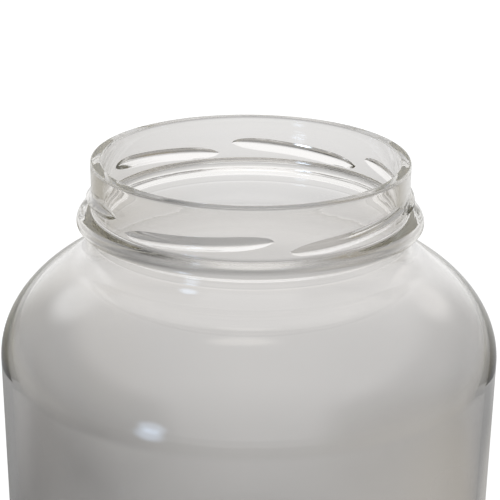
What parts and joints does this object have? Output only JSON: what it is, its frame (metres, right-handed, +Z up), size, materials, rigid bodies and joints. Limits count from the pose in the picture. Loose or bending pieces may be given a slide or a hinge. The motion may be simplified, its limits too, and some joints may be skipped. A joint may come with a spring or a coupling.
{
  "type": "glass jar",
  "caption": "Wide clear-glass preserving jar with a domed shoulder and an open mouth, ringed by a bead and sloping lugs that take a twist-on cap.",
  "frame": {"origin": "centre of the base, on the plane of the ring that the jar stands on", "axes": "+Z up along the jar's axis towards the mouth; -Y is the side that faces the viewer in the picture"},
  "size_m": [0.154, 0.154, 0.24],
  "materials": {
    "clear_glass": "clear, fire-polished, with a faint warm grey-green cast in the thick parts"
  },
  "bodies": {
    "root": {"glass_jar": "clear_glass"}
  },
  "joints": []
}
